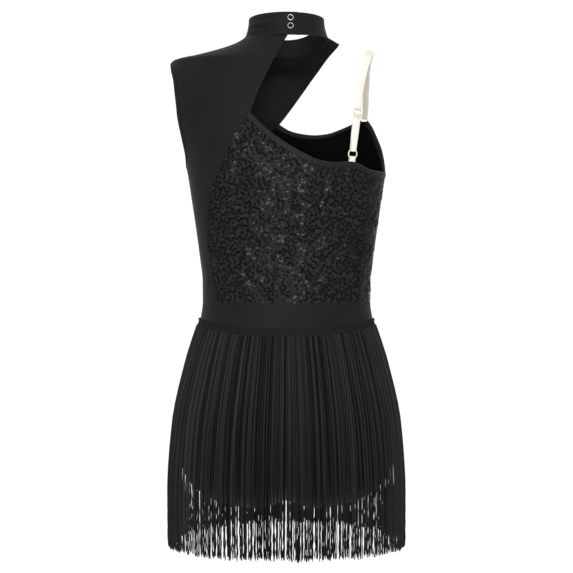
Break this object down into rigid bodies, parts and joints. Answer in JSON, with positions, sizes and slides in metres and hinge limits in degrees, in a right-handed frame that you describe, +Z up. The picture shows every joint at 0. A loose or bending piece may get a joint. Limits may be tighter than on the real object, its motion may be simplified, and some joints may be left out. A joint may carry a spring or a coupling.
{
  "type": "latin dance leotard",
  "caption": "Hollow, sleeveless one-shoulder dance leotard with a stand collar, sequined bodice, elastic shoulder strap and a long fringe round the hips.",
  "frame": {"origin": "middle of the neck opening, level with the collar seam on the shoulders", "axes": "+Z up, -Y out of the wearer's front, +X to the wearer's left"},
  "size_m": [0.2972, 0.2235, 0.6623],
  "materials": {
    "black_stretch": "smooth stretch knit with a soft sheen",
    "black_sequin": "mesh cloth with winding rows of small glossy sequins",
    "black_fringe": "fine twisted yarn with a soft sheen",
    "nude_elastic": "flat woven elastic",
    "cream_plastic": "smooth moulded plastic",
    "snap_metal": "plated metal ring"
  },
  "bodies": {
    "root": {"back_main_panel": "black_stretch", "front_main_panel": "black_stretch", "back_sequin_panel": "black_sequin", "front_sequin_panel": "black_sequin", "back_neck_binding": "black_stretch", "front_neck_binding": "black_stretch", "front_arm_binding": "black_stretch", "collar": "black_stretch", "collar_snap_lower": "snap_metal", "collar_snap_upper": "snap_metal", "fringe_skirt": "black_fringe", "shoulder_strap": "nude_elastic", "strap_tab": "nude_elastic", "strap_ring": "cream_plastic", "strap_slider": "cream_plastic"}
  },
  "joints": []
}
